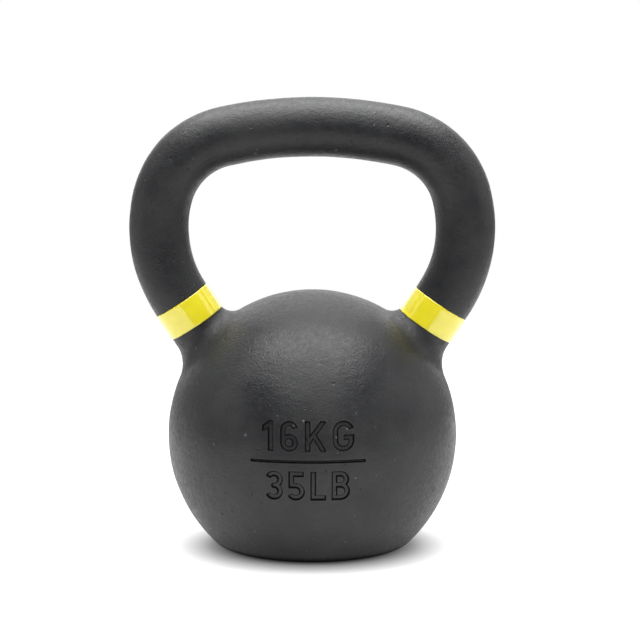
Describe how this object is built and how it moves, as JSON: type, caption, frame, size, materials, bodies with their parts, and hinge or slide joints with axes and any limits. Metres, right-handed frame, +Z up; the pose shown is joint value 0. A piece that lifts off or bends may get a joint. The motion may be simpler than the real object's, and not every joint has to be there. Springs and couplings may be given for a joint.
{
  "type": "kettlebell",
  "caption": "Solid cast-iron kettlebell with a round bell, flat base, wide rounded handle and a coloured band round each horn; sunk weight mark on the front.",
  "frame": {"origin": "centre of the flat base, on the surface that the kettlebell stands on", "axes": "+Z up through the bell and the middle of the grip; +X along the grip; the weight mark faces -Y"},
  "size_m": [0.1964, 0.156, 0.2434],
  "materials": {
    "powder_coated_iron": "semi-matte charcoal black powder coat with fine orange peel",
    "colour_band": "semi-gloss yellow adhesive vinyl"
  },
  "bodies": {
    "root": {"iron_casting": "powder_coated_iron", "left_colour_band": "colour_band", "right_colour_band": "colour_band"}
  },
  "joints": []
}
